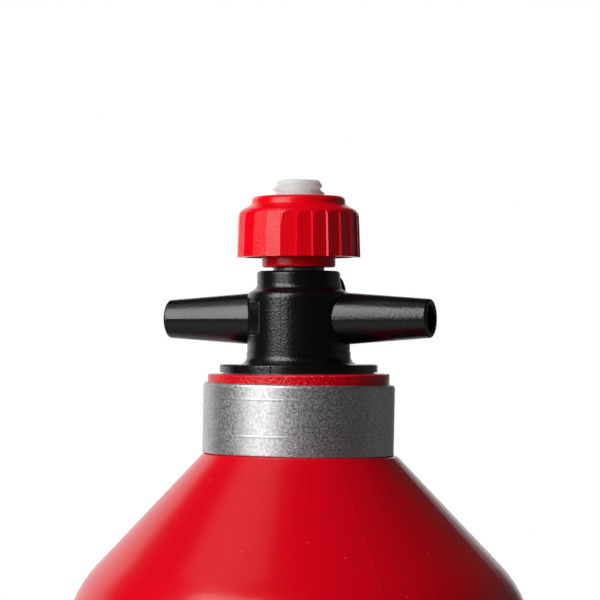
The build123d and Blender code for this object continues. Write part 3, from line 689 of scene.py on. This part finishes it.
def plate_rim():
    """The low rounded rim round the recess: its rectangle is wrapped on the column, where the way
    across is turned into an angle by dividing it by the column's radius."""
    loop = plate_loop(PLATE_STEPS["side"], 0)
    outward = spokes(math.radians(PLATE_ANGLE) + loop[:, 0] / COLUMN_R)
    centre = outward * COLUMN_R + (PLATE_HEIGHT_Z + loop[:, 1:]) * UP
    along = unit(np.roll(centre, -1, axis=0) - np.roll(centre, 1, axis=0))
    swept_ridge("plate_rim", centre, outward, along, PLATE_RIM_WIDTH, PLATE_RIM_HEIGHT,
                "valve", "valve_black", closed=True)


def plate_face():
    """The flat plain plate in the recess: its outline is carried from the back face to the front one,
    round the front edge in a quarter circle, and both faces are closed at their middle."""
    edge = arc((PLATE_EDGE_R, -PLATE_EDGE_R), PLATE_EDGE_R, math.pi, QUARTER_TURN, PLATE_STEPS["edge"])
    section = np.vstack([[(PLATE_EDGE_R, -PLATE_THICKNESS), (0, -PLATE_THICKNESS)], edge])
    loops = np.stack([plate_loop(1, -inset) for inset in section[:, 0]])
    depth = PLATE_FACE_R + section[:, 1]
    side = math.radians(PLATE_ANGLE + PLATE_FACE_TURN)
    spoke, across = spokes(side), spokes(side + QUARTER_TURN)
    middle = PLATE_HEIGHT_Z * UP - PLATE_FACE_R * math.sin(math.radians(PLATE_FACE_TURN)) * across
    place = depth[:, None, None] * spoke + loops[..., :1] * across + loops[..., 1:] * UP + middle
    poles = depth[[0, -1], None] * spoke + middle
    rows, columns = loops.shape[:2]
    back = fan(rows * columns, np.arange(columns)[::-1])
    front = fan(rows * columns + 1, (rows - 1) * columns + np.arange(columns))
    quads = grid_quads(rows, columns, False, True)
    points = np.vstack([place.reshape(-1, 3), poles])
    mesh_piece("plate_face", points, quads, np.vstack([back, front]), "valve", "valve_black")


def rolled_line(name, height):
    """The fine bead rolled into one of the band's grooves: a circle at a height over the band's middle,
    leaning with the band about a level axis."""
    low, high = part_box("neck_ring")
    lean, way = math.radians(BAND_TILT), math.radians(BAND_TILT_AXIS)
    axis, level = spokes(way), spokes(way + QUARTER_TURN)
    over = math.cos(lean) * level + math.sin(lean) * UP
    up = math.cos(lean) * UP - math.sin(lean) * level
    turn = np.linspace(0, FULL_TURN, BAND_LINE_STEPS, endpoint=False)[:, None]
    outward = np.cos(turn) * axis + np.sin(turn) * over
    along = np.cos(turn) * over - np.sin(turn) * axis
    centre = (low.z + high.z) / 2 * UP + outward * BAND_LINE_R + height * up
    swept_ridge(name, centre, outward, along, BAND_LINE_WIDTH, BAND_LINE_HEIGHT,
                "bottle", "ring_steel", closed=True)


threaded_spindle()
skirt_and_neck_threads()
knob_thread()
pressed_spring()
mould_seam("mould_seam_front", SEAM_ANGLE)
mould_seam("mould_seam_back", SEAM_ANGLE + 180)
valve_seam("valve_seam_front", VALVE_SEAM_ANGLE)
valve_seam("valve_seam_back", VALVE_SEAM_ANGLE + 180)
plate_rim()
plate_face()
rolled_line("ring_line_top", BAND_LINE_TOP)
rolled_line("ring_line_foot", BAND_LINE_FOOT)


# Studio


# Lamps: the way round from the camera and above level in degrees and the distance, the size, and the
# light per area
KEY_PLACE, KEY_SIZE, KEY_RADIANCE = (-47, 29.5, 1.1), (0.77, 1.10), 5.65
CARD_PLACE, CARD_SIZE, CARD_RADIANCE = (-92, 66, 1.1), (0.50, 0.50), 0.7

# Bright patches of the room: the way to each one's middle in the same degrees, and how well a direction
# has to agree with it, as a cosine, where the patch starts and where it is full
WALL_MIDDLE, WALL_EDGE = (-152.5, 2), (0.845, 0.900)
BACKDROP_MIDDLE, BACKDROP_EDGE = (180, 6), (0.925, 0.970)
GLOW_MIDDLE, GLOW_EDGE = (122, -12), (0.55, 0.97)
ROOM_LIGHT, WALL_LIGHT, GLOW_LIGHT = 0.030, 1.0, 0.08

# Floor: its radius, how far out its fade to white starts and ends, and how white the camera sees it
# before that
FLOOR_R, FLOOR_FADE, FLOOR_LIFT = 0.8, (0.25, 0.75), 0.4
FLOOR_COLOUR, FLOOR_ROUGHNESS = (0.34, 0.34, 0.34), 0.7
FLOOR_SIDES = 96


def from_camera_side(turn, rise):
    """The unit direction that lies so many degrees round from the camera, left being negative, and
    above level."""
    azimuth, elevation = math.radians(CAMERA_AZIMUTH + turn), math.radians(rise)
    level = math.cos(elevation)
    return Vector((math.sin(azimuth) * level, -math.cos(azimuth) * level, math.sin(elevation)))


def face_the_valve(thing, turn, rise, distance):
    """Stands a lamp or the camera so many degrees round and above level, at a distance from the point
    of the valve's axis at the camera's height, and turns it to face that point."""
    direction = from_camera_side(turn, rise)
    thing.location = Vector((0, 0, CAMERA_HEIGHT)) + direction * distance
    thing.rotation_mode = "QUATERNION"
    thing.rotation_quaternion = direction.to_track_quat("Z", "Y")


def softbox(name, place, size, radiance):
    """A rectangular lamp that faces the valve, as bright per area as radiance says."""
    lamp = bpy.data.lights.new(name, "AREA")
    lamp.shape = "RECTANGLE"
    lamp.size, lamp.size_y = size
    lamp.energy = radiance * math.pi * lamp.size * lamp.size_y
    thing = new_object(name, lamp)
    face_the_valve(thing, *place)


def room_patch(group, direction, middle, edge):
    """Gives 1 for directions near a patch's middle and 0 outside it, with a soft edge: the dot product
    of the direction and the middle one says how well they agree."""
    dot = add_node(group, "VectorMath")
    dot.operation = "DOT_PRODUCT"
    dot.inputs[1].default_value = from_camera_side(*middle)
    group.links.new(direction, dot.inputs[0])
    return stretched(group, dot.outputs["Value"], *edge, smooth=True)


def wall_side_group():
    """Wall is 1 where the studio's white wall stands behind the bottle to its left, and where the
    backdrop rises behind it; Glow is 1 towards the dim far end of the room behind its right side."""
    group, entry, leave = new_group("wall_side", ("Direction",), "NodeSocketVector", ("Wall", "Glow"))
    way = add_node(group, "VectorMath")
    way.operation = "NORMALIZE"
    group.links.new(entry.outputs["Direction"], way.inputs[0])
    direction = way.outputs["Vector"]
    wall = room_patch(group, direction, WALL_MIDDLE, WALL_EDGE)
    backdrop = room_patch(group, direction, BACKDROP_MIDDLE, BACKDROP_EDGE)
    group.links.new(worked_out(group, "MAXIMUM", wall, backdrop), leave.inputs["Wall"])
    group.links.new(room_patch(group, direction, GLOW_MIDDLE, GLOW_EDGE), leave.inputs["Glow"])
    return group


def white_rays(tree, direction):
    """Which rays see plain white: the camera's, those through clear stuff, and reflected ones where the
    wall or the backdrop stands. Also gives the room's patches in that direction."""
    path = add_node(tree, "LightPath")
    patches = placed_group(tree, wall_side)
    tree.links.new(direction, patches.inputs["Direction"])
    shiny = worked_out(tree, "MULTIPLY", path.outputs["Is Glossy Ray"], patches.outputs["Wall"])
    through = worked_out(tree, "ADD", path.outputs["Is Transmission Ray"], shiny)
    return worked_out(tree, "MAXIMUM", path.outputs["Is Camera Ray"], through), patches.outputs


def show_white(tree, mask, usual, white, surface):
    """Feeds a surface from its usual shader, and from the white one as far as the mask says."""
    chosen = add_node(tree, "MixShader")
    for source, socket in ((mask, "Fac"), (usual, 1), (white, 2)):
        tree.links.new(source, chosen.inputs[socket])
    tree.links.new(chosen.outputs["Shader"], surface)


def studio_world():
    """White for the camera, through clear stuff and where shiny pieces mirror the wall or the backdrop;
    otherwise a dim room that these two light from behind, and that glows a little at its far end."""
    world = bpy.data.worlds.new("studio")
    world.use_nodes = True
    bpy.context.scene.world = world
    tree = world.node_tree
    tree.nodes.clear()
    place, leave = add_node(tree, "TexCoord"), add_node(tree, "OutputWorld")
    room, white = add_node(tree, "Background"), add_node(tree, "Background")
    seen, patches = white_rays(tree, place.outputs["Generated"])
    light = stretched(tree, patches["Wall"], 0, 1, ROOM_LIGHT, WALL_LIGHT)
    strength = worked_out(tree, "MULTIPLY_ADD", patches["Glow"], GLOW_LIGHT, light)
    tree.links.new(strength, room.inputs["Strength"])
    room.inputs["Color"].default_value = white.inputs["Color"].default_value = (1, 1, 1, 1)
    show_white(tree, seen, room.outputs["Background"], white.outputs["Background"], leave.inputs["Surface"])


def pale_floor():
    """A round pale floor that fades into the white background far from the bottle."""
    turn = np.linspace(0, FULL_TURN, FLOOR_SIDES, endpoint=False)
    mesh = bpy.data.meshes.new("floor")
    mesh.from_pydata((FLOOR_R * spokes(turn)).tolist(), [], [list(range(FLOOR_SIDES))])
    material, tree, shader = new_material("pale_floor")
    shader.inputs["Base Color"].default_value = (*FLOOR_COLOUR, 1)
    shader.inputs["Roughness"].default_value = FLOOR_ROUGHNESS
    place, white = add_node(tree, "TexCoord"), add_node(tree, "Emission")
    far = add_node(tree, "VectorMath")
    far.operation = "LENGTH"
    tree.links.new(place.outputs["Object"], far.inputs[0])
    fade = stretched(tree, far.outputs["Value"], *FLOOR_FADE, FLOOR_LIFT, smooth=True)
    seen, _ = white_rays(tree, place.outputs["Object"])
    mask = worked_out(tree, "MULTIPLY", fade, seen)
    surface = tree.nodes["Material Output"].inputs["Surface"]
    show_white(tree, mask, shader.outputs["BSDF"], white.outputs["Emission"], surface)
    mesh.materials.append(material)
    floor = new_object("floor", mesh)


def photo_camera():
    """The level camera, its frame moved up a little so that the eye line is where the photo has it."""
    data = bpy.data.cameras.new("photo_camera")
    data.sensor_width = SENSOR
    data.lens = SENSOR * CAMERA_DISTANCE / PHOTO_WIDTH
    data.shift_x = (PHOTO_PIXELS / 2 - AXIS_COLUMN_PX) / PHOTO_PIXELS
    data.shift_y = (EYE_ROW_PX - PHOTO_PIXELS / 2) / PHOTO_PIXELS
    data.clip_start, data.clip_end = CAMERA_CLIP
    camera = new_object("photo_camera", data)
    face_the_valve(camera, 0, 0, CAMERA_DISTANCE)
    bpy.context.scene.camera = camera


wall_side = wall_side_group()
studio_world()
pale_floor()
softbox("key_softbox", KEY_PLACE, KEY_SIZE, KEY_RADIANCE)
softbox("ceiling_card", CARD_PLACE, CARD_SIZE, CARD_RADIANCE)
photo_camera()
bpy.context.scene.view_settings.view_transform = "Standard"
